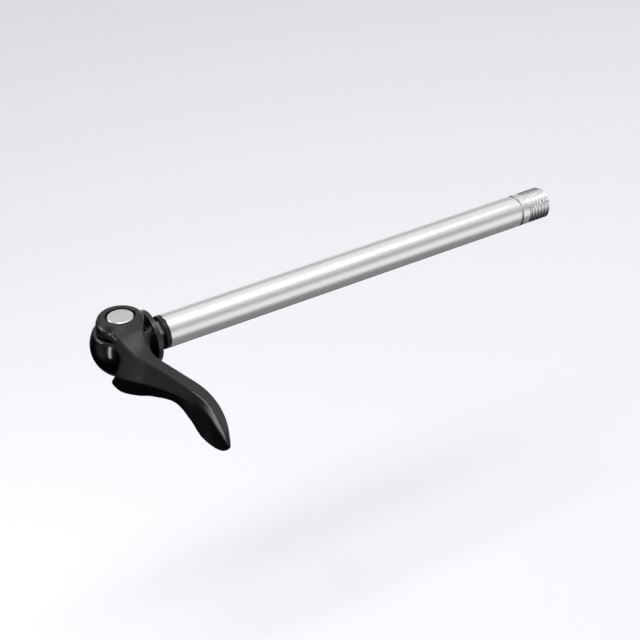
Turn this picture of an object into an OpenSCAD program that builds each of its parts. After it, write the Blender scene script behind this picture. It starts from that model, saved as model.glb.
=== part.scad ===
// Rear thru axle with an enclosed cam lever.
// X runs along the axle towards the thread, Z is the cam's axis, the lever arm points along -Y.
// The origin is on the axle's axis, where the end ring meets the tube.

/* [Axle] */
// Diameter of the axle tube
axle_d = 12; // [10:0.5:15]
// Length from the end ring to the end of the thread
axle_len = 165; // [150:1:185]
// Bore of the hollow tube
tube_bore_d = 8; // [5:0.5:8.5]
// Depth of the solid end that the tie rod screws into
tube_web = 14; // [12:1:30]
// Length of the thread
thread_len = 11; // [8:0.5:16]
// Length of the plain band before the thread
pilot_len = 2.7; // [1.5:0.1:5]
// Width of the groove before the pilot band
relief_w = 0.8; // [0.5:0.1:1.5]
// Depth of the groove before the pilot band
relief_depth = 0.55; // [0.3:0.05:0.8]
// Chamfer at the end of the thread
lead_chamfer = 1.2; // [0.6:0.1:1.6]

/* [End ring and collar] */
// Width of the black end ring
ring_w = 1.8; // [1:0.1:3]
// Rounding of the end ring's edges
ring_edge = 0.35; // [0.1:0.05:0.5]
// Spigot on the tube that carries the end ring
spigot_d = 8.8; // [7:0.1:9.2]
// Width across the flats of the hexagonal collar
collar_af = 9; // [8:0.1:9.4]
// Length of the hexagonal collar
collar_len = 5.4; // [4.6:0.1:5.4]
// Turn of the collar's flats about the axle
collar_turn = 25; // [0:1:59]

/* [Tie rod] */
// Diameter of the tie rod
rod_d = 5; // [4:0.1:5.4]
// Length of the rod's thread inside the tube
rod_screw_len = 12; // [8:0.5:12]
// Diameter of the rod's eye
eye_d = 8.8; // [8.4:0.1:9]

/* [Cam] */
// Distance of the cam's axis from the end ring
cam_axis_x = 15.56; // [15:0.02:16]
// Eccentricity of the cam, which is half of its throw
cam_ecc = 0.75; // [0.5:0.05:0.8]
// Diameter of the eccentric part
cam_d = 5.4; // [5.2:0.1:5.6]
// Diameter of the upper journal
upper_journal_d = 8.4; // [8:0.1:8.6]
// Diameter of the lower journal
lower_journal_d = 3.8; // [3.2:0.1:3.8]
// Diameter of the cam shaft's visible head
cam_head_d = 9.4; // [9:0.1:10]
// Height of the cam shaft's top above the axle's axis
cam_top_z = 11.62; // [11.2:0.02:11.9]
// Chamfer on the cam shaft's head
cam_head_edge = 0.3; // [0.1:0.05:0.6]
// Wall of the cam's bushes
bush_wall = 0.7; // [0.5:0.05:0.8]
// Height of the upper bush
upper_bush_h = 1.8; // [1.2:0.1:1.8]
// Height of the lower bush
lower_bush_h = 3.2; // [2:0.1:3.2]

/* [Housing] */
// Radius of the ball-shaped housing
ball_r = 11.65; // [11.4:0.05:11.8]
// Height of the ball's centre above the axle's axis
ball_z = 0.6; // [0:0.1:1]
// Distance from the cam's axis to the ball's centre
ball_offset = 0.2; // [0:0.05:0.4]
// Height of the housing's flat top
top_flat_z = 6.4; // [6.2:0.05:6.6]
// Depth of the housing's flat underside
bottom_flat_z = 9.5; // [9.3:0.05:10]
// Distance from the ball's centre to the back of its shell
ball_back = 1.6; // [0.8:0.1:2.2]
// Length of the cone behind the ball
back_cone = 2; // [1:0.1:2.5]
// Half width of the neck, measured across the axle
neck_half = 5.3; // [5.2:0.05:5.6]
// Half height of the neck
neck_half_z = 5.5; // [5.3:0.05:5.7]
// Radius of the neck's turned corners
neck_corner_r = 7.4; // [7:0.1:7.5]

/* [Pressure cup] */
// Radius of the cup's rim
cup_r = 9.5; // [9:0.1:10.5]
// Distance of the cup's clamping face from the end ring
cup_face_x = 5; // [4.6:0.1:5.2]
// Width of the cup's rim along the axle
cup_rim_w = 1.75; // [1.5:0.05:1.8]
// Thickness of the cup's floor
cup_floor = 1; // [0.8:0.05:1.3]
// Wall of the cup's rim
cup_wall = 0.9; // [0.6:0.1:1.2]
// Length of the flare between the neck and the cup's floor
cup_flare = 2.2; // [1.8:0.1:2.4]
// Radius of the flare where it meets the cup's floor
cup_flare_r = 7.4; // [6.6:0.1:7.4]
// Depth of the grip grooves in the clamping face
face_groove = 0.25; // [0.1:0.05:0.4]
// Number of grip grooves in the clamping face
face_groove_count = 2; // [1:1:3]

/* [Lever] */
// Height of the lever's hub above the axle's axis
hub_top_z = 11.97; // [11.9:0.01:12.4]
// Radius of the lever's hub
hub_r = 8.4; // [8.2:0.05:8.5]
// Distance from the cam's axis to the middle of the hub's wall, away from the axle
hub_offset = 0.35; // [0:0.05:0.35]
// How far the hub's shoulder reaches in from its wall
shoulder_w = 2.1; // [1.5:0.1:3]
// Height of the hub's shoulder
shoulder_h = 2.1; // [1.5:0.01:3.5]
// Diameter of the recess around the cam shaft's head
recess_d = 10.5; // [10.2:0.1:11]
// Depth of the recess around the cam shaft's head
recess_depth = 0.9; // [0.6:0.1:1.2]
// Length of the lever from the cam's axis to its tip
lever_reach = 66.5; // [62:0.5:72]
// Rounding of the lever's tip, seen from the side
tip_round = 4.5; // [4:0.5:8]

/* [Washers and clip] */
// Thickness of the washer under the lever
thrust_washer_t = 0.4; // [0.3:0.05:0.5]
// Outer diameter of the washer under the lever
thrust_washer_d = 15.2; // [13:0.2:16]
// Thickness of the washer under the lower bush
low_washer_t = 0.4; // [0.3:0.05:0.5]
// Outer diameter of the washer under the lower bush
low_washer_d = 8; // [6.5:0.1:8.4]
// Thickness of the retaining clip
clip_t = 0.5; // [0.4:0.05:0.6]
// Outer diameter of the retaining clip
clip_d = 7; // [6:0.1:7.4]
// Depth of the clip's groove in the cam shaft
clip_groove = 0.4; // [0.3:0.05:0.5]

/* [Fits] */
// Radial clearance of the cam shaft in its bushes
journal_clr = 0.04; // [0.02:0.01:0.08]
// Clearance of the eccentric in the eye, along the axle
cam_clr = 0.22; // [0.2:0.01:0.3]
// Clearance of the collar in the cup's socket
socket_clr = 0.1; // [0.05:0.01:0.15]
// Clearance of the rod and its eye in the head
rod_clr = 0.1; // [0.05:0.01:0.2]
// Clearance between the head and the lever that swings round it
swing_clr = 0.42; // [0.35:0.01:0.6]
// End gap that keeps moving faces apart
end_gap = 0.3; // [0.2:0.05:0.4]

/* [Hidden] */
eps = 0.01;
far = 60;
axle_r = axle_d / 2;
spigot_r = spigot_d / 2;
collar_r = collar_af / 2 / cos(30);
rod_r = rod_d / 2;
eye_r = eye_d / 2;
thread_start = axle_len - thread_len;
pilot_start = thread_start - pilot_len;
relief_start = pilot_start - relief_w;

// Places along X
collar_end_x = -ring_w - collar_len;
socket_end_x = collar_end_x - end_gap;
cup_floor_x = -cup_face_x - cup_floor;
flare_end_x = cup_floor_x - cup_flare;
split_x = -cam_axis_x - cam_ecc + eye_r + 2 * cam_ecc + end_gap;
eye_x = -cam_axis_x - cam_ecc;
ball_x = cam_axis_x - ball_offset;
shell_back_x = -ball_x + ball_back;

// Places along Z
hub_z = top_flat_z + thrust_washer_t;
cam_half_h = eye_r + rod_clr;
upper_bush_z = top_flat_z - upper_bush_h;
seat_z = -cam_half_h - lower_bush_h;
washer_z = seat_z - low_washer_t;
clip_z = washer_z - clip_t;
shaft_end_z = clip_z - end_gap;

cam_r = cam_d / 2;
upper_journal_r = upper_journal_d / 2;
lower_journal_r = lower_journal_d / 2;
head_r = cam_head_d / 2;
upper_bore_r = upper_journal_r + journal_clr + bush_wall;
lower_bore_r = lower_journal_r + journal_clr + bush_wall;
chamber_r = eye_r + rod_clr;
chamber_end_x = eye_x - eye_r - end_gap;

// The lever's stations along its reach, from the hub to the tip, as shares of lever_reach
station = [0, 4.5, 8.5, 11.5, 17, 22, 31, 41, 50, 58, 66.5] * lever_reach / 66.5;

// Turns a profile of [x, radius] points about the X axis
module turn_x(profile, sides = 96) {
    rotate([90, 0, 90])
        rotate([0, 0, 0])
            rotate_extrude($fn = sides)
                polygon([for (p = profile) [p[1], p[0]]]);
}

// A rod along X from x0 to x1
module rod_x(r, x0, x1, sides = 64) {
    translate([x0, 0, 0])
        rotate([0, 90, 0])
            cylinder(r = r, h = x1 - x0, $fn = sides);
}

// A rod along Z on the cam's axis from z0 to z1
module rod_z(r, z0, z1, sides = 64) {
    translate([-cam_axis_x, 0, z0])
        cylinder(r = r, h = z1 - z0, $fn = sides);
}

// A hexagonal bar along X, turned to the collar's flats
module hex_x(r, x0, x1) {
    translate([x0, 0, 0])
        rotate([collar_turn, 0, 0])
            rotate([0, 90, 0])
                cylinder(r = r, h = x1 - x0, $fn = 6);
}

module axle_tube() {
    color("silver")
        difference() {
            turn_x([[-ring_w, 0], [-ring_w, spigot_r], [0, spigot_r], [0, axle_r],
                    [relief_start, axle_r], [relief_start, axle_r - relief_depth],
                    [pilot_start, axle_r - relief_depth],
                    [pilot_start, axle_r - 0.35], [pilot_start + 0.35, axle_r],
                    [axle_len - lead_chamfer, axle_r], [axle_len, axle_r - lead_chamfer], [axle_len, 0]]);
            rod_x(tube_bore_d / 2, tube_web, axle_len + eps);
            rod_x(rod_r, -ring_w - eps, tube_web + eps);
            translate([axle_len - 0.6, 0, 0])
                rotate([0, 90, 0])
                    cylinder(r1 = tube_bore_d / 2, r2 = tube_bore_d / 2 + 0.7, h = 0.7, $fn = 64);
        }
}

module end_ring() {
    color("dimgray")
        difference() {
            turn_x([[-ring_w, 0], [-ring_w, axle_r - ring_edge], [-ring_w + ring_edge, axle_r],
                    [-ring_edge, axle_r], [0, axle_r - ring_edge / 2], [0, 0]]);
            rod_x(spigot_r, -ring_w - eps, eps);
        }
}

module index_collar() {
    color("dimgray")
        difference() {
            hex_x(collar_r, collar_end_x, -ring_w);
            rod_x(rod_r, collar_end_x - eps, -ring_w + eps);
        }
}

// The rod's eye is slotted across the axle, so that the eccentric can ride up and down in it
module tie_rod() {
    color("lightgray")
        difference() {
            union() {
                rod_x(rod_r, eye_x, rod_screw_len);
                rod_x(eye_r, eye_x - eye_r, eye_x + eye_r);
            }
            for (side = [-1, 1])
                translate([eye_x, side * (cam_ecc + cam_clr / 2), 0])
                    cylinder(r = cam_r + cam_clr, h = 4 * eye_r, center = true, $fn = 64);
            translate([eye_x, 0, 0])
                cube([2 * (cam_r + cam_clr), 2 * cam_ecc + cam_clr, 4 * eye_r], center = true);
        }
}

module pressure_cup() {
    color("black")
        difference() {
            union() {
                turn_x([[flare_end_x, 0], [flare_end_x, neck_half - 0.1], [cup_floor_x, cup_flare_r],
                        [cup_floor_x, cup_r - cup_wall], [-cup_face_x - cup_rim_w, cup_r - cup_wall],
                        [-cup_face_x - cup_rim_w, cup_r - 0.2], [-cup_face_x - cup_rim_w + 0.2, cup_r],
                        [-cup_face_x - 0.3, cup_r], [-cup_face_x, cup_r - 0.3], [-cup_face_x, 0]]);
                neck(split_x, cup_floor_x);
            }
            hex_x(collar_r + socket_clr / cos(30), socket_end_x, 0);
            rod_x(rod_r + rod_clr, split_x - eps, 0);
            for (i = [0 : face_groove_count - 1])
                translate([-cup_face_x, 0, 0])
                    rotate([0, 90, 0])
                        rotate_extrude($fn = 64)
                            translate([cup_r - 1.1 - 0.8 * i, 0])
                                circle(r = face_groove, $fn = 24);
        }
}

// The square neck with its turned corners
module neck(x0, x1) {
    intersection() {
        translate([x0, -neck_half, -neck_half_z])
            cube([x1 - x0, 2 * neck_half, 2 * neck_half_z]);
        rod_x(neck_corner_r, x0, x1);
    }
}

module housing() {
    color("black")
        difference() {
            union() {
                intersection() {
                    union() {
                        intersection() {
                            translate([-ball_x, 0, ball_z])
                                sphere(r = ball_r, $fn = 128);
                            translate([-far, -far, -far])
                                cube([far + shell_back_x, 2 * far, 2 * far]);
                        }
                        translate([shell_back_x - eps, 0, ball_z])
                            rotate([0, 90, 0])
                                cylinder(r1 = sqrt(ball_r * ball_r - ball_back * ball_back), r2 = neck_corner_r,
                                         h = back_cone, $fn = 96);
                    }
                    translate([-far, -far, -bottom_flat_z])
                        cube([2 * far, 2 * far, bottom_flat_z + top_flat_z]);
                }
                neck(-cam_axis_x, split_x);
                intersection() {
                    rod_z(upper_bore_r + 0.9, 0, top_flat_z);
                    translate([-far, -far, -far])
                        cube([far + split_x, 2 * far, 2 * far]);
                }
            }
            rod_x(chamber_r, chamber_end_x, split_x + eps);
            rod_z(upper_bore_r, upper_bush_z, top_flat_z + eps);
            rod_z(upper_journal_r + journal_clr, 0, top_flat_z);
            rod_z(cam_r + cam_ecc + swing_clr / 2, -cam_half_h, 0);
            rod_z(lower_bore_r, seat_z - eps, 0);
            rod_z(low_washer_d / 2 + 0.3, -bottom_flat_z - eps, seat_z);
        }
}

module upper_bush() {
    color("ivory")
        difference() {
            rod_z(upper_bore_r, upper_bush_z, top_flat_z);
            rod_z(upper_journal_r + journal_clr, upper_bush_z - eps, top_flat_z + eps);
        }
}

module lower_bush() {
    color("ivory")
        difference() {
            rod_z(lower_bore_r, seat_z, seat_z + lower_bush_h);
            rod_z(lower_journal_r + journal_clr, seat_z - eps, seat_z + lower_bush_h + eps);
        }
}

module thrust_washer() {
    color("ivory")
        difference() {
            rod_z(thrust_washer_d / 2, top_flat_z, hub_z);
            rod_z(upper_journal_r + journal_clr, top_flat_z - eps, hub_z + eps);
        }
}

module cam_shaft() {
    color("lightgray")
        union() {
            translate([-cam_axis_x, 0, 0])
                rotate_extrude($fn = 96)
                    polygon([[0, hub_z], [head_r, hub_z], [head_r, cam_top_z - cam_head_edge],
                             [head_r - cam_head_edge, cam_top_z], [0, cam_top_z]]);
            rod_z(upper_journal_r, cam_half_h, hub_z);
            translate([eye_x, 0, -cam_half_h])
                cylinder(r = cam_r, h = 2 * cam_half_h, $fn = 64);
            difference() {
                rod_z(lower_journal_r, shaft_end_z, -cam_half_h);
                difference() {
                    rod_z(far / 10, clip_z, washer_z);
                    rod_z(lower_journal_r - clip_groove, clip_z - eps, washer_z + eps);
                }
            }
        }
}

module bottom_washer() {
    color("lightgray")
        difference() {
            rod_z(low_washer_d / 2, washer_z, seat_z);
            rod_z(lower_journal_r + journal_clr, washer_z - eps, seat_z + eps);
        }
}

// An open clip with a mouth as wide as the groove's floor
module retaining_clip() {
    color("gray")
        difference() {
            rod_z(clip_d / 2, clip_z, washer_z);
            rod_z(lower_journal_r - clip_groove, clip_z - eps, washer_z + eps);
            translate([-cam_axis_x, -(lower_journal_r - clip_groove) * 0.8, clip_z - eps])
                cube([clip_d, (lower_journal_r - clip_groove) * 1.6, clip_t + 2 * eps]);
        }
}

// The arm's section has six edges. Each is a list of [x, z] at the stations.
// Inner top edge, next to the wheel
edge_t = [[-7.3, 11.2], [-8.9, 11.2], [-11.2, 10.2], [-12.6, 8.5], [-13, 4.6], [-11.6, 3.1], [-9.4, 2.2],
          [-7.2, 1.4], [-7.2, 0.7], [-8.6, -0.8], [-11.5, -3.6]];
// Crown of the top face
edge_r = [[-15.4, 11.8], [-15.6, 11.7], [-16.2, 11], [-16.4, 9.7], [-15.8, 6.5], [-13.6, 3.9], [-11.6, 2.4],
          [-8.9, 1.5], [-8.3, 0.7], [-9.5, -1.1], [-11.9, -3.9]];
// Outer top edge
edge_a = [[-23.8, 9.5], [-22.9, 9.8], [-21.5, 9.1], [-20.6, 8], [-18.8, 5.6], [-16.7, 4.2], [-13.5, 2.5],
          [-10.7, 1.3], [-9.6, 0.4], [-10.6, -1.6], [-12.4, -4.4]];
// Ridge along the arm's outside
edge_b = [[-22, -3], [-23.2, -3.6], [-24.2, -3.8], [-24.2, -3.6], [-21.2, -3.4], [-18.5, -3.3], [-14.5, -3.1],
          [-11.3, -2.6], [-10.9, -2.3], [-11.4, -3.8], [-12.6, -5.6]];
// Outer lower edge
edge_c = [[-22.5, -6.5], [-24.3, -8], [-24.4, -9.2], [-23.4, -9.7], [-20.3, -8.9], [-17.6, -7.6], [-13.3, -7.1],
          [-12.6, -9.2], [-13.6, -10.4], [-12.8, -10.9], [-12.2, -8]];
// Inner lower edge
edge_d = [[-18, -5], [-18, -6], [-17, -7.2], [-15.8, -8], [-14.6, -7.9], [-12.8, -7], [-9.7, -6.2],
          [-8.2, -8], [-9.6, -9.8], [-10.6, -10], [-11.6, -7.6]];

// Slope of a station list at place i, for a curve that passes through its points
function slope(list, i) =
    let (last = len(list) - 1, a = max(i - 1, 0), b = min(i + 1, last))
    (list[b] - list[a]) / (station[b] - station[a]);
// The span of stations that holds q
function span(q) = max([0, for (i = [0 : len(station) - 2]) if (station[i] <= q) i]);
// Cubic curve through the stations
function along(list, q) =
    let (i = span(q), h = station[i + 1] - station[i], t = (q - station[i]) / h, t2 = t * t, t3 = t2 * t)
    list[i] * (2 * t3 - 3 * t2 + 1) + slope(list, i) * h * (t3 - 2 * t2 + t)
    + list[i + 1] * (3 * t2 - 2 * t3) + slope(list, i + 1) * h * (t3 - t2);

function unit(v) = v / max(norm(v), 0.001);
// Rounds one corner of the section with three points, the middle one on the edge itself
function round_corner(before, corner, after, r) =
    let (a = unit(before - corner) * min(r, norm(before - corner) * 0.4),
         b = unit(after - corner) * min(r, norm(after - corner) * 0.4))
    [corner + a * 0.7 - b * 0.3, corner, corner + b * 0.7 - a * 0.3];
corner_round = [1.3, 2.5, 0.9, 0.5, 1.1, 1.4];
edges = [edge_t, edge_r, edge_a, edge_b, edge_c, edge_d];
// The section at distance q from the cam's axis, drawn in towards its middle near the tip
function section(q) =
    let (c = [for (e = edges) along(e, q)],
         mid = (c[0] + c[1] + c[2] + c[3] + c[4] + c[5]) / 6,
         t = max(0, (q - lever_reach + tip_round) / tip_round),
         s = sqrt(max(0.012, 1 - t * t)),
         k = [for (p = c) mid + (p - mid) * s])
    [for (i = [0 : 5]) each round_corner(k[(i + 5) % 6], k[i], k[(i + 1) % 6], corner_round[i] * s)];

// The arm as a loft through the sections
module arm() {
    qs = concat([for (i = [0 : 23]) i * (lever_reach - tip_round) / 24],
                [for (i = [0 : 6]) lever_reach - tip_round + tip_round * sin(i * 15)]);
    rings = [for (q = qs) [for (p = section(q)) [p[0], -q, p[1]]]];
    n = len(rings[0]);
    m = len(rings);
    polyhedron(
        points = [for (ring = rings) each ring],
        faces = concat(
            [[for (i = [0 : n - 1]) i]],
            [[for (i = [0 : n - 1]) (m - 1) * n + n - 1 - i]],
            [for (j = [0 : m - 2], i = [0 : n - 1])
                [j * n + i, (j + 1) * n + i, (j + 1) * n + (i + 1) % n]],
            [for (j = [0 : m - 2], i = [0 : n - 1])
                [j * n + i, (j + 1) * n + (i + 1) % n, j * n + (i + 1) % n]]));
}

// The hub's wall runs over a round shoulder to its flat top
module hub() {
    translate([-cam_axis_x - hub_offset, 0, 0])
        rotate_extrude($fn = 96)
            polygon(concat(
                [[0, hub_z], [hub_r, hub_z]],
                [for (i = [0 : 6])
                    [hub_r - shoulder_w * (1 - cos(i * 15)), hub_top_z - shoulder_h * (1 - sin(i * 15))]],
                [[0, hub_top_z]]));
}

module lever() {
    color("black")
        difference() {
            union() {
                arm();
                hub();
            }
            intersection() {
                translate([-cam_axis_x, 0, ball_z])
                    sphere(r = ball_r + ball_offset + swing_clr, $fn = 128);
                translate([-far, -far, -far])
                    cube([2 * far, 2 * far, far + hub_z]);
            }
            rod_z(head_r, 0, far);
            rod_z(recess_d / 2, hub_top_z - recess_depth, far);
        }
}

axle_tube();
end_ring();
index_collar();
tie_rod();
pressure_cup();
housing();
upper_bush();
lower_bush();
thrust_washer();
cam_shaft();
lever();
bottom_washer();
retaining_clip();
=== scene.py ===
"""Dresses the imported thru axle: smooth pieces over its solids, finishes, studio and camera.

Lengths inside the shape functions are millimetres. X runs along the axle towards the thread,
Z is the cam shaft's axis, and the closed lever points along -Y.
"""

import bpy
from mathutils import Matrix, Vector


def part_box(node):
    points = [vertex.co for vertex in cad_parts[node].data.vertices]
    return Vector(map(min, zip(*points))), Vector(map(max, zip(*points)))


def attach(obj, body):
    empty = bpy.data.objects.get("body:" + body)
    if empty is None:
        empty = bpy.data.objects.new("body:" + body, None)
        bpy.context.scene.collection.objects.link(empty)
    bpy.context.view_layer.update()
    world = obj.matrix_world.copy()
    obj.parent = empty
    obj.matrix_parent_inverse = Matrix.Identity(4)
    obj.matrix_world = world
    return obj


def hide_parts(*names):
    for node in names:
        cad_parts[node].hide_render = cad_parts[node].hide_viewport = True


bl_info = {
    "name": "Thru axle with cam lever",
    "version": (1, 0, 0),
    "blender": (4, 5, 0),
    "location": "3D View > Sidebar > Thru axle",
    "description": "Builds the pieces and finishes of a bicycle thru axle with a cam lever",
    "category": "Object",
}

import bmesh
import bpy
import numpy as np
from mathutils import Matrix, Vector

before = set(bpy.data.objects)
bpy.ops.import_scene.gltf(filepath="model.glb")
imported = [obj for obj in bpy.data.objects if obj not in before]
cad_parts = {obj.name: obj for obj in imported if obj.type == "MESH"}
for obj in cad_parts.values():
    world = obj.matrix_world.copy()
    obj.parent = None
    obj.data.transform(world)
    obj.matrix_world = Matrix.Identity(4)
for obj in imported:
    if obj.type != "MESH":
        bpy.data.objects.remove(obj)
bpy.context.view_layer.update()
MM = 0.001


def cad_mm(node):
    """Lowest and highest corner of a CAD node, in millimetres."""
    low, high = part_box(node)
    return np.array(low) / MM, np.array(high) / MM


TUBE_LOW, TUBE_HIGH = cad_mm("axle_tube")
CUP_LOW, CUP_HIGH = cad_mm("pressure_cup")
COLLAR_LOW, COLLAR_HIGH = cad_mm("index_collar")
RING_LOW, RING_HIGH = cad_mm("end_ring")
CAM_LOW, CAM_HIGH = cad_mm("cam_shaft")
HOUSING_LOW, HOUSING_HIGH = cad_mm("housing")
LEVER_LOW, LEVER_HIGH = cad_mm("lever")


# ---------------------------------------------------------------- sizes and colours

class TubeSettings(bpy.types.PropertyGroup):
    """The hollow tube and its thread."""

    radius: bpy.props.FloatProperty(
        name="Radius", description="Outside radius of the tube",
        default=float(TUBE_HIGH[1]) * MM, min=0.004, max=0.01, unit="LENGTH", precision=5)
    bore: bpy.props.FloatProperty(
        name="Bore radius", description="Radius of the tube's bore",
        default=0.004, min=0.002, max=0.005, unit="LENGTH", precision=5)
    pitch: bpy.props.FloatProperty(
        name="Thread pitch", description="Distance between two crests",
        default=0.0015, min=0.001, max=0.002, unit="LENGTH", precision=5)
    depth: bpy.props.FloatProperty(
        name="Thread depth", description="Height of a crest over the thread's root",
        default=0.00072, min=0.0004, max=0.001, unit="LENGTH", precision=5)
    metal: bpy.props.FloatVectorProperty(
        name="Metal", description="Colour of the bare tube",
        default=(0.86, 0.86, 0.86), subtype="COLOR", min=0, max=1)
    roughness: bpy.props.FloatProperty(
        name="Roughness", description="How satin the tube is",
        default=0.24, min=0, max=1, subtype="FACTOR")


class LeverSettings(bpy.types.PropertyGroup):
    """The lever and the housing it swings round."""

    cell: bpy.props.FloatProperty(
        name="Cell", description="Grid that the lever's skin is laid on",
        default=0.00028, min=0.0002, max=0.001, unit="LENGTH", precision=5)
    blend: bpy.props.FloatProperty(
        name="Neck fillet", description="Width of the fillet between the hub and the arm",
        default=0.0009, min=0.0005, max=0.008, unit="LENGTH", precision=5)
    paint: bpy.props.FloatVectorProperty(
        name="Paint", description="Colour of the black paint",
        default=(0.0018, 0.0018, 0.0019), subtype="COLOR", min=0, max=1)
    roughness: bpy.props.FloatProperty(
        name="Roughness", description="How satin the lever's paint is",
        default=0.3, min=0, max=1, subtype="FACTOR")
    gloss: bpy.props.FloatProperty(
        name="Housing roughness", description="Roughness of the housing's glossy paint",
        default=0.16, min=0, max=1, subtype="FACTOR")


class StageSettings(bpy.types.PropertyGroup):
    """Floor and lights."""

    floor_gap: bpy.props.FloatProperty(
        name="Floor gap", description="Distance from the part's lowest point down to the floor",
        default=0.12, min=0, max=1, unit="LENGTH")
    floor_colour: bpy.props.FloatVectorProperty(
        name="Floor", description="Colour of the floor",
        default=(0.598, 0.594, 0.624), subtype="COLOR", min=0, max=1)
    key_power: bpy.props.FloatProperty(
        name="Top light", description="Power of the large light overhead",
        default=9.0, min=0, max=500, unit="POWER")
    strip_power: bpy.props.FloatProperty(
        name="Strip light", description="Power of the upright strip at the head's end",
        default=1.5, min=0, max=100, unit="POWER")


# ---------------------------------------------------------------- shader maths

class Wire:
    """A socket that can be calculated with: each sign adds a Math node."""

    def __init__(self, graph, socket):
        self.graph = graph
        self.socket = socket

    def _math(self, operation, *values):
        return self.graph.node("ShaderNodeMath", {"operation": operation}, dict(enumerate(values)))

    def __add__(self, other):
        return self._math("ADD", self, other)

    def __sub__(self, other):
        return self._math("SUBTRACT", self, other)

    def __mul__(self, other):
        return self._math("MULTIPLY", self, other)


class Graph:
    """The node tree of a material or a world, written as calls and sums."""

    def __init__(self, owner):
        owner.use_nodes = True
        self.nodes = owner.node_tree.nodes
        self.links = owner.node_tree.links
        self.nodes.clear()

    def node(self, kind, settings=None, sockets=None, out=0):
        """Adds a node, sets its settings, then fills its sockets with values or wires."""
        new = self.nodes.new(kind)
        for key, value in (settings or {}).items():
            setattr(new, key, value)
        for key, value in (sockets or {}).items():
            socket = new.inputs[key]
            if isinstance(value, Wire):
                self.links.new(value.socket, socket)
            elif socket.type == "RGBA" and len(value) == 3:
                socket.default_value = (*value, 1)
            else:
                socket.default_value = value
        return Wire(self, new.outputs[out]) if len(new.outputs) else None

    def vector(self, operation, one, other=(0.0, 0.0, 0.0), out="Vector"):
        return self.node("ShaderNodeVectorMath", {"operation": operation}, {0: one, 1: other}, out)

    def range(self, wire, low, high, to_low, to_high, curve="LINEAR"):
        """Maps low..high to to_low..to_high, and holds the ends beyond them."""
        sockets = {"Value": wire, "From Min": low, "From Max": high, "To Min": to_low, "To Max": to_high}
        return self.node("ShaderNodeMapRange", {"clamp": True, "interpolation_type": curve}, sockets)

    def mix(self, factor, one, other):
        """Mixes two colours."""
        return self.node("ShaderNodeMix", {"data_type": "RGBA"}, {0: factor, 6: one, 7: other}, out=2)

    def grey_ramp(self, wire, stops):
        """A grey whose level runs through the stops, each a place and a level."""
        new = self.nodes.new("ShaderNodeValToRGB")
        elements = new.color_ramp.elements
        while len(elements) < len(stops):
            elements.new(0.5)
        for element, (place, level) in zip(elements, stops):
            element.position = place
            element.color = (level, level, level, 1)
        self.links.new(wire.socket, new.inputs[0])
        return Wire(self, new.outputs[0])


class Shade(Graph):
    """A material on Object coordinates."""

    def __init__(self, name):
        self.material = bpy.data.materials.new(name)
        super().__init__(self.material)

    def noise(self, stretch, detail, rough):
        """Noise on Object coordinates that are stretched by three numbers per metre."""
        places = self.vector("MULTIPLY", self.node("ShaderNodeTexCoord", out="Object"), stretch)
        sockets = {"Vector": places, "Scale": 1.0, "Detail": detail, "Roughness": rough, "Distortion": 0.0}
        return self.node("ShaderNodeTexNoise", {"noise_dimensions": "3D"}, sockets)

    def grain(self, per_metre, detail, rough):
        """Noise that is equally fine in every direction."""
        return self.noise((per_metre, per_metre, per_metre), detail, rough)

    def vary(self, wire, low, high, edge=0.3):
        """Spreads the middle of a noise, edge..1-edge, over low..high."""
        return self.range(wire, edge, 1 - edge, low, high)

    def bump(self, height, strength, distance):
        sockets = {"Height": height, "Strength": strength, "Distance": distance}
        return self.node("ShaderNodeBump", None, sockets)

    def painted_edge_highlight(self, radius, low, high):
        """One on outer edges and nothing on flats: the mask of a highlight painted on the edges.

        It comes from how far a rounded normal leans away from the true one."""
        soft = self.node("ShaderNodeBevel", {"samples": 6}, {"Radius": radius})
        true = self.node("ShaderNodeNewGeometry", out="Normal")
        return self.range(self.vector("DOT_PRODUCT", soft, true, "Value"), low, high, 1.0, 0.0)

    def finish(self, **sockets):
        """The Principled shader and the output; a name's underscores stand for spaces."""
        named = {key.replace("_", " "): value for key, value in sockets.items()}
        surface = self.node("ShaderNodeBsdfPrincipled", None, named)
        self.node("ShaderNodeOutputMaterial", None, {"Surface": surface})
        return self.material


def satin_aluminium(settings):
    """Bare tube: fine turning marks that run round the axle, faint cloudy stains and a satin shine."""
    s = Shade("satin_aluminium")
    marks = s.noise((9000.0, 260.0, 260.0), detail=3.0, rough=0.6)
    clouds = s.noise((45.0, 130.0, 130.0), detail=3.0, rough=0.55)
    base = tuple(settings.metal)
    stained = tuple(0.955 * c for c in base)
    colour = s.mix(s.vary(clouds, 0.0, 1.0), stained, base)
    rough = s.vary(clouds, -0.03, 0.04, edge=0.25) + s.vary(marks, -0.03, 0.03) + settings.roughness
    normal = s.bump(marks, strength=0.12, distance=0.00001)
    return s.finish(Base_Color=colour, Metallic=1.0, Roughness=rough, Normal=normal)


def black_anodising(name, rough, shine):
    """Black turned metal: fine rings round the axle and a dull sheen, with a painted highlight that makes its
    edges a little paler.
    """
    s = Shade(name)
    rings = s.noise((7000.0, 240.0, 240.0), detail=2.0, rough=0.6)
    grain = s.grain(5200.0, detail=2.0, rough=0.5)
    # The paler edges are a painted highlight.
    edge_highlight_mask = s.painted_edge_highlight(radius=0.00014, low=0.72, high=0.99)
    black, edge_highlight_colour = (0.003, 0.003, 0.0033), (0.09, 0.09, 0.094)
    base = s.mix(edge_highlight_mask * 0.35, black, edge_highlight_colour)
    roughness = s.vary(rings, -0.05, 0.05) + s.vary(grain, -0.04, 0.04) + rough
    normal = s.bump(rings * 0.6 + grain * 0.4, strength=0.12, distance=0.000012)
    return s.finish(
        Base_Color=base, Metallic=0.0, Roughness=roughness, Specular_IOR_Level=shine, Normal=normal)


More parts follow.
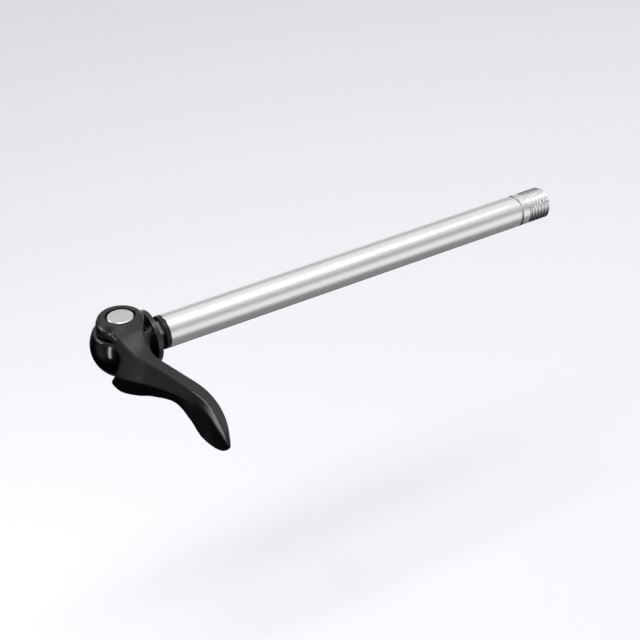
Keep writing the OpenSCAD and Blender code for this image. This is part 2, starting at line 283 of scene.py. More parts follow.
def lever_paint(settings):
    """Black satin paint on a forging: a faint orange peel, specks in its shine, smoother ridges and a painted
    highlight on its edges.
    """
    s = Shade("lever_paint")
    peel = s.grain(620.0, detail=1.0, rough=0.4)
    speck = s.grain(6400.0, detail=2.0, rough=0.5)
    clouds = s.grain(90.0, detail=3.0, rough=0.5)
    # The paler edges are a painted highlight; the same mask also makes the edges less rough.
    edge_highlight_mask = s.painted_edge_highlight(radius=0.0004, low=0.8, high=0.995)
    paint, edge_highlight_colour = tuple(settings.paint), (0.03, 0.03, 0.031)
    cloudy = tuple(c * 1.5 for c in paint)
    base = s.mix(edge_highlight_mask * 0.2, s.mix(s.vary(clouds, 0.0, 0.5), paint, cloudy), edge_highlight_colour)
    rough = s.vary(clouds, -0.025, 0.025) + s.vary(speck, -0.03, 0.03) - edge_highlight_mask * 0.05 + settings.roughness
    normal = s.bump(peel * 0.8 + speck * 0.2, strength=0.05, distance=0.00003)
    return s.finish(Base_Color=base, Roughness=rough, Specular_IOR_Level=0.5, Normal=normal)


def housing_gloss(settings):
    """Glossy black paint on the round housing, with a very faint peel and a painted highlight on its edges.
    """
    s = Shade("housing_gloss")
    peel = s.grain(520.0, detail=1.0, rough=0.4)
    clouds = s.grain(120.0, detail=3.0, rough=0.5)
    # The paler edges are a painted highlight.
    edge_highlight_mask = s.painted_edge_highlight(radius=0.0003, low=0.8, high=0.99)
    base = s.mix(edge_highlight_mask * 0.3, tuple(settings.paint), (0.06, 0.06, 0.062))
    rough = s.vary(clouds, -0.02, 0.03) + settings.gloss
    normal = s.bump(peel, strength=0.04, distance=0.00003)
    return s.finish(Base_Color=base, Roughness=rough, Specular_IOR_Level=0.5, Normal=normal)


def faced_steel(name, centre, colour, rough):
    """Steel faced on a lathe: fine rings round the cam's axis, and a soft shine."""
    s = Shade(name)
    from_axis = s.vector("SUBTRACT", s.node("ShaderNodeTexCoord", out="Object"), centre)
    radius = s.vector("LENGTH", s.vector("MULTIPLY", from_axis, (1.0, 1.0, 0.0)), out="Value")
    sockets = {"W": radius * 14000.0, "Scale": 1.0, "Detail": 2.0}
    rings = s.node("ShaderNodeTexNoise", {"noise_dimensions": "1D"}, sockets)
    clouds = s.grain(380.0, detail=3.0, rough=0.6)
    stained = tuple(0.93 * c for c in colour)
    base = s.mix(s.vary(clouds, 0.0, 1.0), stained, colour)
    roughness = s.vary(rings, -0.05, 0.05) + s.vary(clouds, -0.04, 0.04) + rough
    normal = s.bump(rings, strength=0.15, distance=0.000008)
    return s.finish(Base_Color=base, Metallic=1.0, Roughness=roughness, Normal=normal)


def drawn_steel():
    """Plain steel of the pieces inside the head."""
    s = Shade("drawn_steel")
    grain = s.noise((4200.0, 900.0, 900.0), detail=3.0, rough=0.6)
    rough = s.vary(grain, 0.28, 0.42)
    colour = s.mix(s.vary(grain, 0.0, 1.0), (0.5, 0.5, 0.5), (0.6, 0.6, 0.59))
    normal = s.bump(grain, strength=0.1, distance=0.00001)
    return s.finish(Base_Color=colour, Metallic=1.0, Roughness=rough, Normal=normal)


def bearing_plastic():
    """Dark moulded plastic with a fine matte grain."""
    s = Shade("bearing_plastic")
    grain = s.grain(3600.0, detail=3.0, rough=0.6)
    colour = s.mix(s.vary(grain, 0.0, 1.0), (0.02, 0.02, 0.021), (0.032, 0.032, 0.033))
    normal = s.bump(grain, strength=0.2, distance=0.00002)
    return s.finish(Base_Color=colour, Roughness=s.vary(grain, 0.5, 0.65), Normal=normal)


# ---------------------------------------------------------------- mesh making

WELD_DISTANCE = 1e-8
BEVEL_SEGMENTS = 3
BEVEL_ANGLE = 32


def as_piece(name, points, faces, material, body, nodes, angle=35.0, bevel=0.0):
    """Puts points in millimetres and faces into a mesh object, welds it, and rides it on a CAD body."""
    mesh = bpy.data.meshes.new(name)
    mesh.from_pydata((np.asarray(points, float) * MM).tolist(), [], np.asarray(faces).tolist())
    mesh.update()
    piece = bpy.data.objects.new(name, mesh)
    bpy.context.scene.collection.objects.link(piece)
    work = bmesh.new()
    work.from_mesh(mesh)
    bmesh.ops.remove_doubles(work, verts=work.verts, dist=WELD_DISTANCE)
    bmesh.ops.recalc_face_normals(work, faces=work.faces)
    work.to_mesh(mesh)
    work.free()
    mesh.polygons.foreach_set("use_smooth", np.ones(len(mesh.polygons), bool))
    mesh.set_sharp_from_angle(angle=np.radians(angle))
    if bevel:
        mod = piece.modifiers.new("edges", "BEVEL")
        mod.width = bevel * MM
        mod.segments = BEVEL_SEGMENTS
        mod.limit_method = "ANGLE"
        mod.angle_limit = np.radians(BEVEL_ANGLE)
        mod.harden_normals = True
        mod.use_clamp_overlap = True
    mesh.materials.append(material)
    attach(piece, body)
    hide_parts(*nodes)
    return piece


def ring_faces(rows, sides):
    """Quads of a closed tube of rows, each of so many sides, whose last row meets its first."""
    i, j = np.meshgrid(np.arange(rows), np.arange(sides), indexing="ij")
    a = i * sides + j
    b = i * sides + (j + 1) % sides
    c = (i + 1) % rows * sides + (j + 1) % sides
    d = (i + 1) % rows * sides + j
    return np.stack([a, b, c, d], -1).reshape(-1, 4)


def round_x(rows):
    """A closed ring round the X axis.

    Each row is a place x and its radius at every angle: the point is (x, r cos, r sin)."""
    sides = len(rows[0][1])
    turn = np.arange(sides) * 2 * np.pi / sides
    x = np.array([row[0] for row in rows])[:, None] + np.zeros((1, sides))
    r = np.stack([row[1] for row in rows])
    points = np.stack([x, r * np.cos(turn), r * np.sin(turn)], -1).reshape(-1, 3)
    return points, ring_faces(len(rows), sides)


def circles(profile, sides):
    """Rows for round_x from pairs of a place and one radius."""
    return [(x, np.full(sides, float(radius))) for x, radius in profile]


def hexagonal(half_flat, sides, corner_degrees, softness=44.0):
    """Radius of a hexagon at each angle.

    It is half the width over flats by the soft maximum of the cosines to the six flats."""
    turn = np.arange(sides) * 2 * np.pi / sides
    flats = np.radians(corner_degrees + 30 + 60 * np.arange(6))[:, None]
    lean = np.maximum(np.cos(turn[None] - flats), 0)
    return half_flat / (lean ** softness).sum(0) ** (1 / softness)


def squared(half_y, half_z, corner, sides, softness=26.0):
    """Radius of a square bar with turned corners: the soft maximum of its two widths and its circle."""
    turn = np.arange(sides) * 2 * np.pi / sides
    flats = [np.abs(np.cos(turn)) / half_y, np.abs(np.sin(turn)) / half_z, np.full(sides, 1 / corner)]
    return 1 / (np.stack(flats) ** softness).sum(0) ** (1 / softness)


SLIDES = 6           # how often the points slide
SLOPE_STEP = 0.02    # half the distance over which the slope is measured
LEAST_STEEP = 0.05   # keeps a slide short where the field is flat


def skin(field, low, high, cell):
    """Lays a skin on the zero level of field(x, y, z), which is below zero inside.

    Each grid cell that the level crosses gets one point, the mean of the crossings on its edges,
    and each crossed grid edge gets one face. The points then slide down the field's slope onto the level."""
    axes = [np.arange(a, b + cell, cell) for a, b in zip(low, high)]
    value = field(*np.meshgrid(*axes, indexing="ij"))
    cells = np.array(value.shape) - 1
    total = np.zeros((cells.prod(), 3))
    count = np.zeros(cells.prod())
    corners = []
    for a in range(3):
        b, c = (a + 1) % 3, (a + 2) % 3
        first = value[tuple(slice(0, -1) if k == a else slice(None) for k in range(3))]
        last = value[tuple(slice(1, None) if k == a else slice(None) for k in range(3))]
        hit = (first < 0) != (last < 0)
        spot = np.argwhere(hit)
        crossing = spot.astype(float)
        crossing[:, a] += first[hit] / (first[hit] - last[hit])
        around = []
        for back_b, back_c in ((0, 0), (1, 0), (1, 1), (0, 1)):
            near = spot.copy()
            near[:, b] -= back_b
            near[:, c] -= back_c
            flat = np.ravel_multi_index(tuple(near.T), tuple(cells))
            for k in range(3):
                total[:, k] += np.bincount(flat, crossing[:, k], len(count))
            count += np.bincount(flat, minlength=len(count))
            around.append(flat)
        around = np.stack(around, 1)
        inward = first[hit] >= 0
        around[inward] = around[inward][:, ::-1]
        corners.append(around)
    used = np.flatnonzero(count)
    number = np.zeros(len(count), int)
    number[used] = np.arange(len(used))
    points = np.array(low) + total[used] / count[used, None] * cell
    faces = number[np.concatenate(corners)]
    steps = np.eye(3) * SLOPE_STEP
    for _ in range(SLIDES):
        here = field(*points.T)
        rise = [field(*(points + step).T) - field(*(points - step).T) for step in steps]
        slope = np.stack([one / (2 * SLOPE_STEP) for one in rise], 1)
        steep = np.maximum((slope ** 2).sum(1), LEAST_STEEP)
        points = points - slope * np.clip(here / steep, -0.5 * cell, 0.5 * cell)[:, None]
    return points, faces


def soft_max(a, b, width):
    """The larger of two fields, with the corner between them rounded over a width."""
    near = np.maximum(width - np.abs(a - b), 0) / width
    return np.maximum(a, b) + near * near * width * 0.25


def soft_min(a, b, width):
    return -soft_max(-a, -b, width)


# ---------------------------------------------------------------- sizes of the turned pieces

ROD_HOLE = 2.5        # radius of the hole for the tie rod in tube and collar
SPIGOT = 4.4          # radius of the tube's spigot that carries the end ring
SPIGOT_FLOOR = 14.0   # how deep into the tube its closed end reaches
TUBE_EDGE = 0.12      # chamfer of the tube's edge at the ring
THREAD_LENGTH = 11.0
THREAD_RUN_IN = 1.2   # length over which the thread grows to its full depth
THREAD_ROW = 0.062    # distance between two rows of the thread's mesh
THREAD_LEAD = 0.2     # how far before the thread those rows begin
CREST_SHARE = 12      # the pitch over this is half the width of a crest's flat
FLANK = 1.732         # how steeply a crest's flank falls
PILOT_LENGTH = 2.7    # plain band before the thread
GROOVE = 0.55         # depth of the turned groove before the band
GROOVE_EDGE, GROOVE_WALL, GROOVE_END = 0.85, 0.78, 0.02  # its places, counted back from the band
BAND_EDGE = 0.35
END_CHAMFER = 1.25
BORE_CHAMFER = 0.6
UNDER_CAD = 0.02      # how far the crests stay inside the CAD's radius

RING_HOLE = 4.42
COLLAR_FLAT = 4.5     # half the hexagon's width over its flats
COLLAR_EDGE = 0.25
HEXAGON_TURN = -145

CUP_HOLE = 2.6
SOCKET_FLAT = 4.6     # half the width of the cup's socket for the collar
SOCKET_FLOOR = -7.5
CUP_THICK = 1.0       # from the clamping face to the flare
RIM_WIDTH = 1.75
RIM_STEP = 0.9
FLARE_LENGTH = 2.2
FLARE_INSET = 2.1     # how far inside the rim the flare ends
FLARE_CURVE = 1.6
GRIP_INSETS = (1.1, 1.9)
GRIP_RADIUS = 0.25
NECK_Y, NECK_Z, NECK_CORNER = 5.3, 5.5, 7.4  # half widths of the square neck, and its turned corners


# ---------------------------------------------------------------- the shape of lever and housing

CAM_X = float((CAM_LOW[0] + CAM_HIGH[0]) / 2)
HUB_TOP = float(LEVER_HIGH[2])
HUB_BASE = 6.8
HUB_SHIFT = 0.35
HUB_R = 8.4
HUB_ROUND = 2.1
HUB_EDGE = 0.3
# The way from the cam's axis to the arm's outer side, and the hub's cone there: its radius at the hub's
# top, how it leans out and up, how soft it meets the shoulder, and how far it draws back elsewhere
ARM_WAY = (0.85, 0.53)
CONE_R, CONE_OUT, CONE_UP, CONE_SOFT = 5.7, 0.6, 0.8, 0.9
CONE_BACK, CONE_FACING, CONE_TURN = 1.5, 0.5, 0.9
SHAFT_HOLE = 4.72
RECESS_R, RECESS_DEPTH, RECESS_EDGE = 5.25, 2.4, 0.2
BALL_X = CAM_X + 0.2
BALL_Z = 0.6
BALL_R = 11.65
POCKET_R = 12.27
# The pocket's edge is rounded widely on the arm's side and closely at the hub: heights, then widths
POCKET_HEIGHTS, POCKET_EDGES = [2.5, 6.0], [2.6, 0.4]
REACH = -float(LEVER_LOW[1])

# The ball's flat back and the cone before it: where it starts, its run, drop and slant, and its radius
BACK_START, BACK_RUN, BACK_DROP, BACK_SLANT, BACK_R = 1.6, 2.0, 4.14, 4.6, 11.54
BACK_EDGE, BALL_EDGE = 0.4, 0.6
BOSS_R = 5.84
NECK_FILLET, BOSS_FILLET, TOP_EDGE, BASE_EDGE = 0.8, 0.3, 0.5, 1.2
CHAMBER_R, CHAMBER_END = 4.5, -21.01
# The clip's room under the bearing, then radius and floor of each step of the bore above it
CLIP_ROOM_R, CLIP_ROOM_TOP = 4.3, -7.7
BORE_STEPS = ((4.94, 4.6), (4.24, 0.0), (3.66, -4.5), (2.64, -7.7))

# Distance from the cam's axis, then [x, z] of the arm's edges there
STATIONS = np.array([0, 4.5, 8.5, 11.5, 17, 22, 31, 41, 50, 58, 66.5])
INNER_TOP = np.array([
    [-7.4, 11.2], [-9.0, 11.2], [-11.2, 10.4], [-12.6, 8.7], [-13, 4.8], [-11.6, 3.3],
    [-9.4, 2.3], [-7.2, 1.5], [-7.2, 0.8], [-8.6, -0.7], [-11.5, -3.5]])
CROWN = np.array([
    [-15.4, 11.9], [-15.6, 11.85], [-16.2, 11.2], [-16.4, 9.9], [-15.8, 6.7], [-13.6, 4.0],
    [-11.6, 2.5], [-8.9, 1.55], [-8.3, 0.75], [-9.5, -1.0], [-11.9, -3.8]])
OUTER_TOP = np.array([
    [-24.0, 9.6], [-23.25, 9.9], [-22.0, 9.2], [-20.95, 8.1], [-18.9, 5.7], [-16.8, 4.3],
    [-13.6, 2.6], [-10.8, 1.4], [-9.7, 0.5], [-10.6, -1.5], [-12.4, -4.3]])
RIDGE = np.array([
    [-22.2, -3], [-23.3, -3.6], [-24.2, -3.9], [-24.1, -3.6], [-21.4, -3.5], [-18.7, -3.3],
    [-14.8, -2.9], [-12.0, -2.5], [-11.3, -2.0], [-12.0, -3.3], [-12.9, -5.5]])
OUTER_LOW = np.array([
    [-22.5, -6.5], [-24.4, -8.1], [-24.2, -9.6], [-22.8, -10.6], [-19.4, -10.1], [-16.8, -8.7],
    [-12.9, -7.8], [-12.7, -9.3], [-13.7, -10.5], [-12.9, -10.96], [-12.2, -8]])
INNER_LOW = np.array([
    [-18, -5], [-18, -6], [-17, -7.2], [-15.8, -8], [-14.6, -7.9], [-12.8, -7],
    [-9.7, -6.2], [-8.2, -8], [-9.6, -9.8], [-10.6, -10], [-11.6, -7.6]])
EDGES = [INNER_TOP, CROWN, OUTER_TOP, RIDGE, OUTER_LOW, INNER_LOW]
# How far each edge's rounding reaches along its two sides
EDGE_REACH = [0.0, 6.0, 0.8, 0.6, 0.9, 0.8]
# How much further it reaches where the arm leaves the hub, and how soon that is over
START_REACH = [0.0, 0.0, 2.2, 0.0, 0.0, 0.0]
START_LENGTH = 10
# The arm is fuller by so much from the second place on, and not yet at the first
FULLER, FULLER_PLACES = 0.22, [8.0, 16.0]
# Near the cam's axis the arm sinks into the hub, and ends a little behind that axis
SINK_FROM, SINK, BEHIND_AXIS = 3.0, 0.12, 0.3
TIP_ROUND = 4.5
LEAST_SHARE, LEAST_ROUNDING = 0.02, 0.02
FINE = np.linspace(0, REACH, 700)


def along(places, values, wanted):
    """A smooth curve through the stations.

    On each span it is a cubic whose end slopes are those of the chords over two spans."""
    first = np.maximum(np.arange(len(places)) - 1, 0)
    last = np.minimum(np.arange(len(places)) + 1, len(places) - 1)
    slope = (values[last] - values[first]) / (places[last] - places[first])[:, None]
    span = np.clip(np.searchsorted(places, wanted, "right") - 1, 0, len(places) - 2)
    width = places[span + 1] - places[span]
    t = ((wanted - places[span]) / width)[:, None]
    width = width[:, None]
    return (values[span] * (2 * t**3 - 3 * t**2 + 1)
            + slope[span] * width * (t**3 - 2 * t**2 + t)
            + values[span + 1] * (3 * t**2 - 2 * t**3)
            + slope[span + 1] * width * (t**3 - t**2))


def edge_table():
    """[x, z] of every edge at the FINE places, drawn in to a round tip, and the share of the width left."""
    table = np.stack([along(STATIONS * REACH / STATIONS[-1], edge, FINE) for edge in EDGES])
    middle = table.mean(0)
    near_tip = np.maximum(0, (FINE - REACH + TIP_ROUND) / TIP_ROUND)
    share = np.sqrt(np.maximum(1 - near_tip**2, 0.0))
    return middle + (table - middle) * np.maximum(share, LEAST_SHARE)[None, :, None], share


TABLE, SHARE = edge_table()


def arm_field(x, y, z):
    """How far a point lies outside the arm.

    At its distance along the arm this is the largest of its distances over the section's sides,
    with the corner between two sides rounded by its reach times the sine of the turn."""
    q = -y
    edge = [(np.interp(q, FINE, row[:, 0]), np.interp(q, FINE, row[:, 1])) for row in TABLE]
    width_scale = np.interp(q, FINE, np.maximum(SHARE, 0.05))
    sides, ways = [], []
    for (ax, az), (bx, bz) in zip(edge, edge[1:] + edge[:1]):
        length = np.hypot(bx - ax, bz - az) + 1e-6
        ways.append(((bx - ax) / length, (bz - az) / length))
        sides.append((x - ax) * ways[-1][1] - (z - az) * ways[-1][0])
    out = sides[0]
    near_hub = np.clip(1 - q / START_LENGTH, 0, 1)
    for k in range(1, len(EDGES)):
        turn = np.abs(ways[k - 1][0] * ways[k][1] - ways[k - 1][1] * ways[k][0])
        reach = EDGE_REACH[k] + START_REACH[k] * near_hub
        out = soft_max(out, sides[k], np.maximum(reach * turn * width_scale, LEAST_ROUNDING))
    fuller = np.interp(q, FULLER_PLACES, [0.0, FULLER])
    sunk = SINK * np.maximum(SINK_FROM - q, 0) ** 2
    return np.maximum(out - fuller + sunk, np.maximum(q - REACH, -q - BEHIND_AXIS))


def hub_field(x, y, z):
    """How far a point lies outside the hub: a wall, a round shoulder and a flat top.

    Towards the arm the shoulder gives way to a plain cone, whose lower end is the ridge that runs
    on along the arm."""
    from_axis = x - CAM_X + HUB_SHIFT
    r = np.hypot(from_axis, y)
    wall = r - HUB_R
    above = np.maximum(z - HUB_TOP + HUB_ROUND, 0)
    shoulder = np.hypot(np.maximum(r - (HUB_R - HUB_ROUND), 0), above) - HUB_ROUND
    facing = -(from_axis * ARM_WAY[0] + y * ARM_WAY[1]) / np.maximum(r, 0.5)
    away = np.clip((CONE_FACING - facing) / CONE_TURN, 0, 1)
    cone = (r - CONE_R) * CONE_OUT + (z - HUB_TOP) * CONE_UP - CONE_BACK * away * away * (3 - 2 * away)
    out = soft_max(np.maximum(np.maximum(wall, shoulder), z - HUB_TOP), cone, CONE_SOFT)
    return soft_max(out, HUB_BASE - z, HUB_EDGE)


def lever_field(x, y, z, fillet):
    """The hub and arm run together with a fillet, less the round pocket, the shaft's hole and recess."""
    body = soft_min(hub_field(x, y, z), arm_field(x, y, z), fillet)
    body = np.maximum(body, z - HUB_TOP)
    r = np.hypot(x - CAM_X, y)
    ball = np.sqrt((x - CAM_X) ** 2 + y**2 + (z - BALL_Z) ** 2) - POCKET_R
    pocket = np.maximum(ball, z - HUB_BASE)
    body = soft_max(body, -pocket, np.interp(z, POCKET_HEIGHTS, POCKET_EDGES))
    recess = np.maximum(r - RECESS_R, HUB_TOP - RECESS_DEPTH - z)
    body = soft_max(body, -recess, RECESS_EDGE)
    return np.maximum(body, SHAFT_HOLE - r)


def housing_field(x, y, z):
    """A ball cut flat above and below, running into a square neck towards the axle, less its bores."""
    neck_end = float(HOUSING_HIGH[0])
    ball = np.sqrt((x - BALL_X) ** 2 + y**2 + (z - BALL_Z) ** 2) - BALL_R
    past = x - BALL_X - BACK_START
    cone = (past * BACK_DROP + (np.hypot(y, z - BALL_Z) - BACK_R) * BACK_RUN) / BACK_SLANT
    ball = soft_max(ball, soft_max(past - BACK_RUN, cone, BACK_EDGE), BALL_EDGE)
    from_x = np.hypot(y, z)
    neck = np.maximum(np.maximum(np.abs(y) - NECK_Y, np.abs(z) - NECK_Z), from_x - NECK_CORNER)
    neck = np.maximum(neck, np.maximum(x - neck_end, CAM_X - x))
    from_cam = np.hypot(x - CAM_X, y)
    boss = np.maximum(from_cam - BOSS_R, np.maximum(-z, x - neck_end))
    body = soft_min(soft_min(ball, neck, NECK_FILLET), boss, BOSS_FILLET)
    body = soft_max(body, z - float(HOUSING_HIGH[2]), TOP_EDGE)
    body = soft_max(body, float(HOUSING_LOW[2]) - z, BASE_EDGE)
    chamber = np.maximum(from_x - CHAMBER_R, CHAMBER_END - x)
    bores = np.maximum(from_cam - CLIP_ROOM_R, z - CLIP_ROOM_TOP)
    for radius, floor in BORE_STEPS:
        bores = np.minimum(bores, np.maximum(from_cam - radius, floor - z))
    return np.maximum(body, -np.minimum(chamber, bores))


# ---------------------------------------------------------------- the studio

# Its brightness at each height of the direction, from straight down (-1) to straight up (1)
HEAD_SIDE = [
    (-1.0, 0.0), (-0.3, 0.0), (-0.1, 0.01), (0.1, 0.05), (0.3, 0.33), (0.5, 0.75), (0.75, 1.2), (1.0, 1.5)]
THREAD_SIDE = [
    (-1.0, 0.25), (-0.72, 0.28), (-0.58, 0.38), (-0.42, 0.85), (-0.12, 1.0),
    (0.05, 0.85), (0.3, 0.46), (0.5, 0.52), (0.72, 0.88), (1.0, 1.0)]
# Where along X the head's side turns into the thread's side
SIDE_FROM, SIDE_TO = -0.25, 0.3
# Soft patches: a direction, the cosine at which the patch begins, and what it adds at its middle
PATCHES = [
    ((-0.932, 0.3, -0.2), 0.9, 0.27),
    ((0.366, 0.777, -0.512), 0.82, -0.3),
    ((-0.62, 0.06, 0.78), 0.87, -1.2)]

FLOOR_HALF = 6.0

# The photograph's camera, fitted to the tube's two ends, the disc and the ring
LENS = 103.243
VIEW_RIGHT = (0.845556, -0.532485, -0.038658)
VIEW_UP = (0.300784, 0.4153, 0.85852)
VIEW_BACK = (-0.441094, -0.737554, 0.511322)
VIEW_PLACE = (-0.2326843, -0.4944971, 0.3253213)


def lay_floor(scene, settings):
    """A plain pale floor under the part, which neither mirrors nor lights it."""
    low = float(LEVER_LOW[2]) * MM - settings.floor_gap
    corners = [(-1, -1), (1, -1), (1, 1), (-1, 1)]
    mesh = bpy.data.meshes.new("floor")
    mesh.from_pydata([(x * FLOOR_HALF, y * FLOOR_HALF, low) for x, y in corners], [], [(0, 1, 2, 3)])
    floor = bpy.data.objects.new("floor", mesh)
    scene.collection.objects.link(floor)
    paper = Shade("floor_paper")
    fibre = paper.grain(700.0, detail=2.0, rough=0.5)
    tone = tuple(settings.floor_colour)
    colour = paper.mix(paper.vary(fibre, 0.0, 1.0), tuple(c * 0.997 for c in tone), tone)
    mesh.materials.append(paper.finish(Base_Color=colour, Roughness=1.0, Specular_IOR_Level=0.0))
    floor.visible_glossy = False
    floor.visible_diffuse = False


def hang_lamp(scene, name, place, aim, size, power, glossy=True):
    """A rectangular lamp at a place, turned to shine at its aim."""
    data = bpy.data.lights.new(name, "AREA")
    data.shape = "RECTANGLE"
    data.size, data.size_y = size
    data.energy = power
    lamp = bpy.data.objects.new(name, data)
    lamp.location = place
    lamp.rotation_euler = (Vector(aim) - Vector(place)).to_track_quat("-Z", "Y").to_euler()
    lamp.visible_glossy = glossy
    lamp.visible_camera = False
    scene.collection.objects.link(lamp)


def studio_world():
    """The walls of the studio: one ramp of brightness for each side, and the soft patches."""
    world = bpy.data.worlds.new("studio")
    w = Graph(world)
    way = w.node("ShaderNodeTexCoord", out="Generated")
    height = w.range(w.node("ShaderNodeSeparateXYZ", None, {0: way}, "Z"), -1.0, 1.0, 0.0, 1.0)
    x = w.node("ShaderNodeSeparateXYZ", None, {0: way}, "X")
    side = w.range(x, SIDE_FROM, SIDE_TO, 0.0, 1.0, "SMOOTHSTEP")
    head, thread = (
        w.grey_ramp(height, [((place + 1) / 2, level) for place, level in stops])
        for stops in (HEAD_SIDE, THREAD_SIDE))
    light = w.mix(side, head, thread)
    for centre, begin, gain in PATCHES:
        lean = w.vector("DOT_PRODUCT", way, centre, "Value")
        light = w.vector("ADD", light, w.range(lean, begin, 1.0, 0.0, gain, "SMOOTHSTEP"))
    glow = w.node("ShaderNodeBackground", None, {"Color": w.vector("MAXIMUM", light)})
    w.node("ShaderNodeOutputWorld", None, {"Surface": glow})
    return world


def photo_camera():
    """The camera that sees the part as the photograph does."""
    data = bpy.data.cameras.new("photo_view")
    data.lens = LENS
    data.sensor_width = 36.0
    data.clip_start = 0.01
    data.clip_end = 50
    camera = bpy.data.objects.new("photo_view", data)
    rows = [list(row) for row in zip(VIEW_RIGHT, VIEW_UP, VIEW_BACK, VIEW_PLACE)]
    camera.matrix_world = Matrix(rows + [[0, 0, 0, 1]])
    return camera


# ---------------------------------------------------------------- operators

class AXLE_OT_tube(bpy.types.Operator):
    """Hollow tube with its groove, pilot band and helical thread"""

    bl_idname = "axle.tube"
    bl_label = "Axle tube"

    def execute(self, context):
        s = context.scene.thru_tube
        sides = 192
        turn = np.arange(sides) / sides
        r, bore, pitch, depth = s.radius / MM, s.bore / MM, s.pitch / MM, s.depth / MM
        low, end = float(TUBE_LOW[0]), float(TUBE_HIGH[0])
        start = end - THREAD_LENGTH
        pilot = start - PILOT_LENGTH
        groove = r - GROOVE
        profile = [(low, ROD_HOLE), (low, SPIGOT), (0, SPIGOT), (0, r - TUBE_EDGE), (TUBE_EDGE, r)]
        profile += [(x, r) for x in np.linspace(2, pilot - 1.0, 24)]
        profile += [(pilot - GROOVE_EDGE, r), (pilot - GROOVE_WALL, groove), (pilot - GROOVE_END, groove)]
        profile += [(pilot, r - BAND_EDGE), (pilot + BAND_EDGE, r)]
        x = np.arange(start - THREAD_LEAD, end - 0.001, THREAD_ROW)
        phase = (x[:, None] / pitch - turn[None]) % 1.0
        from_crest = np.abs(phase - 0.5) * pitch
        cut = np.clip((from_crest - pitch / CREST_SHARE) * FLANK, 0, depth)
        grown = np.clip((x - start) / THREAD_RUN_IN, 0, 1)[:, None]
        chamfer = np.maximum(x - (end - END_CHAMFER), 0)[:, None]
        radius = np.minimum(r - cut * grown, r - UNDER_CAD - chamfer)
        mouth = [(end, r - END_CHAMFER - UNDER_CAD), (end, bore + BORE_CHAMFER), (end - BORE_CHAMFER, bore)]
        mouth += [(SPIGOT_FLOOR, bore), (SPIGOT_FLOOR, ROD_HOLE)]
        points, faces = round_x(circles(profile, sides) + list(zip(x, radius)) + circles(mouth, sides))
        metal = satin_aluminium(s)
        as_piece("tube_and_thread", points, faces, metal, "axle", ["axle_tube"], angle=40)
        return {"FINISHED"}


class AXLE_OT_end_ring(bpy.types.Operator):
    """Black ring at the end of the tube"""

    bl_idname = "axle.end_ring"
    bl_label = "End ring"

    def execute(self, context):
        a, b, r = float(RING_LOW[0]), float(RING_HIGH[0]), float(RING_HIGH[1])
        points, faces = round_x(circles([(a, RING_HOLE), (a, r), (b, r), (b, RING_HOLE)], 160))
        black = black_anodising("ring_black", rough=0.36, shine=0.36)
        as_piece("black_end_ring", points, faces, black, "axle", ["end_ring"], bevel=0.3)
        return {"FINISHED"}


class AXLE_OT_collar(bpy.types.Operator):
    """Hexagonal collar that keeps the head from turning on the axle"""

    bl_idname = "axle.collar"
    bl_label = "Hexagonal collar"

    def execute(self, context):
        sides = 240
        a, b = float(COLLAR_LOW[0]), float(COLLAR_HIGH[0])
        hexagon = hexagonal(COLLAR_FLAT, sides, HEXAGON_TURN)
        rows = circles([(a, ROD_HOLE)], sides)
        rows += [(a, hexagon - COLLAR_EDGE), (a + COLLAR_EDGE, hexagon), (b, hexagon)]
        points, faces = round_x(rows + circles([(b, ROD_HOLE)], sides))
        black = black_anodising("collar_black", rough=0.3, shine=0.85)
        as_piece("hexagon_collar", points, faces, black, "axle", ["index_collar"])
        return {"FINISHED"}


class AXLE_OT_cup(bpy.types.Operator):
    """Pressure cup with its square neck, in one piece"""

    bl_idname = "axle.cup"
    bl_label = "Pressure cup"

    def execute(self, context):
        sides = 240
        face, split, rim = float(CUP_HIGH[0]), float(CUP_LOW[0]), float(CUP_HIGH[1])
        floor = face - CUP_THICK
        back = face - RIM_WIDTH
        neck = squared(NECK_Y, NECK_Z, NECK_CORNER, sides)
        wide = np.full(sides, rim - FLARE_INSET)
        socket = hexagonal(SOCKET_FLAT, sides, HEXAGON_TURN)
        rows = circles([(split, CUP_HOLE)], sides) + [(split, neck)]
        for t in np.linspace(0, 1, 9):
            share = t**FLARE_CURVE
            rows.append((floor - FLARE_LENGTH * (1 - t), neck * (1 - share) + wide * share))
        step = rim - RIM_STEP
        profile = [(floor, step), (back, step), (back, rim), (face, rim)]
        for inset in GRIP_INSETS:
            for w in np.linspace(0, np.pi, 7):
                profile.append((face - GRIP_RADIUS * np.sin(w), rim - inset + GRIP_RADIUS * np.cos(w)))
        rows += circles(profile, sides) + [(face, socket), (SOCKET_FLOOR, socket)]
        points, faces = round_x(rows + circles([(SOCKET_FLOOR, CUP_HOLE)], sides))
        black = black_anodising("cup_black", rough=0.3, shine=0.65)
        as_piece("cup_and_neck", points, faces, black, "head", ["pressure_cup"], bevel=0.12)
        return {"FINISHED"}


# How far the grid of a skin reaches past the CAD's box
GRID_MARGIN = 0.8


class AXLE_OT_housing(bpy.types.Operator):
    """Ball-shaped housing round the cam"""

    bl_idname = "axle.housing"
    bl_label = "Housing"

    def execute(self, context):
        s = context.scene.thru_lever
        low, high = HOUSING_LOW - GRID_MARGIN, HOUSING_HIGH + GRID_MARGIN
        points, faces = skin(housing_field, low, high, s.cell / MM)
        points = np.clip(points, HOUSING_LOW, HOUSING_HIGH)
        gloss = housing_gloss(s)
        as_piece("ball_housing", points, faces, gloss, "head", ["housing"], angle=50)
        return {"FINISHED"}


class AXLE_OT_lever(bpy.types.Operator):
    """Lever: hub and arm in one skin, with the pocket and the recess"""

    bl_idname = "axle.lever"
    bl_label = "Lever"

    def execute(self, context):
        s = context.scene.thru_lever
        low, high = LEVER_LOW - GRID_MARGIN, LEVER_HIGH + GRID_MARGIN
        fillet = s.blend / MM
        points, faces = skin(lambda x, y, z: lever_field(x, y, z, fillet), low, high, s.cell / MM)
        points = np.clip(points, LEVER_LOW, LEVER_HIGH)
        paint = lever_paint(s)
        as_piece("cam_lever", points, faces, paint, "lever", ["lever"], angle=50)
        return {"FINISHED"}


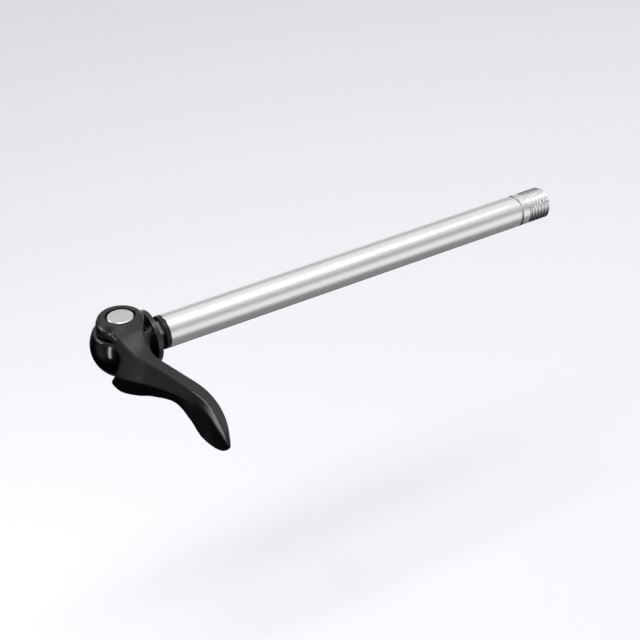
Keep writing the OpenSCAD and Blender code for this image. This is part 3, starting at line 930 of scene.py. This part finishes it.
class AXLE_OT_finishes(bpy.types.Operator):
    """Finishes of the nodes whose shape stays as it is"""

    bl_idname = "axle.finishes"
    bl_label = "Finishes"

    def execute(self, context):
        steel = drawn_steel()
        plastic = bearing_plastic()
        disc = faced_steel("faced_disc", centre=(CAM_X * MM, 0.0, 0.0), colour=(0.86, 0.86, 0.85), rough=0.34)
        finishes = {
            "cam_shaft": disc,
            "tie_rod": steel, "bottom_washer": steel, "retaining_clip": steel,
            "upper_bush": plastic, "lower_bush": plastic, "thrust_washer": plastic,
        }
        for node, material in finishes.items():
            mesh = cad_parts[node].data
            if not mesh.materials:
                mesh.materials.append(material)
            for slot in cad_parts[node].material_slots:
                slot.material = material
        return {"FINISHED"}


class AXLE_OT_stage(bpy.types.Operator):
    """Pale floor, studio lights, sky and the photograph's camera"""

    bl_idname = "axle.stage"
    bl_label = "Stage"

    def execute(self, context):
        s = context.scene.thru_stage
        scene = context.scene
        key, strip = s.key_power, s.strip_power
        lay_floor(scene, s)
        hang_lamp(
            scene, "top_box", place=(0.05, -0.06, 1.0), aim=(0.05, 0, 0),
            size=(1.6, 0.5), power=key, glossy=False)
        hang_lamp(
            scene, "top_strip", place=(0.0, -0.25, 0.9), aim=(0.0, 0, 0),
            size=(1.2, 0.3), power=key * 0.34)
        hang_lamp(
            scene, "end_strip", place=(-0.24, -0.072, -0.008), aim=(-0.015, 0, 0),
            size=(0.034, 0.15), power=strip * 0.11)
        hang_lamp(
            scene, "back_strip", place=(-0.185, 0.105, 0.085), aim=(-0.012, -0.05, 0),
            size=(0.12, 0.05), power=strip * 0.1)
        scene.world = studio_world()
        camera = photo_camera()
        scene.collection.objects.link(camera)
        scene.camera = camera
        scene.view_settings.view_transform = "Standard"
        scene.view_settings.look = "None"
        return {"FINISHED"}


class AXLE_PT_panel(bpy.types.Panel):
    """Buttons for every piece and for the stage"""

    bl_idname = "AXLE_PT_panel"
    bl_label = "Thru axle"
    bl_space_type = "VIEW_3D"
    bl_region_type = "UI"
    bl_category = "Thru axle"

    def draw(self, context):
        for group in (context.scene.thru_tube, context.scene.thru_lever, context.scene.thru_stage):
            box = self.layout.box()
            for key in group.__annotations__:
                box.prop(group, key)
        for operator in OPERATORS:
            self.layout.operator(operator.bl_idname)


GROUPS = (TubeSettings, LeverSettings, StageSettings)
OPERATORS = (
    AXLE_OT_tube, AXLE_OT_end_ring, AXLE_OT_collar, AXLE_OT_cup,
    AXLE_OT_housing, AXLE_OT_lever, AXLE_OT_finishes, AXLE_OT_stage)


def register():
    for group in (*GROUPS, *OPERATORS, AXLE_PT_panel):
        bpy.utils.register_class(group)
    bpy.types.Scene.thru_tube = bpy.props.PointerProperty(type=TubeSettings)
    bpy.types.Scene.thru_lever = bpy.props.PointerProperty(type=LeverSettings)
    bpy.types.Scene.thru_stage = bpy.props.PointerProperty(type=StageSettings)


def unregister():
    for name in ("thru_tube", "thru_lever", "thru_stage"):
        delattr(bpy.types.Scene, name)
    for group in (AXLE_PT_panel, *reversed(OPERATORS), *reversed(GROUPS)):
        bpy.utils.unregister_class(group)


def main():
    register()
    for operator in OPERATORS:
        area, name = operator.bl_idname.split(".")
        if getattr(getattr(bpy.ops, area), name)() != {"FINISHED"}:
            raise RuntimeError(operator.bl_label)


if __name__ == "__main__":
    main()
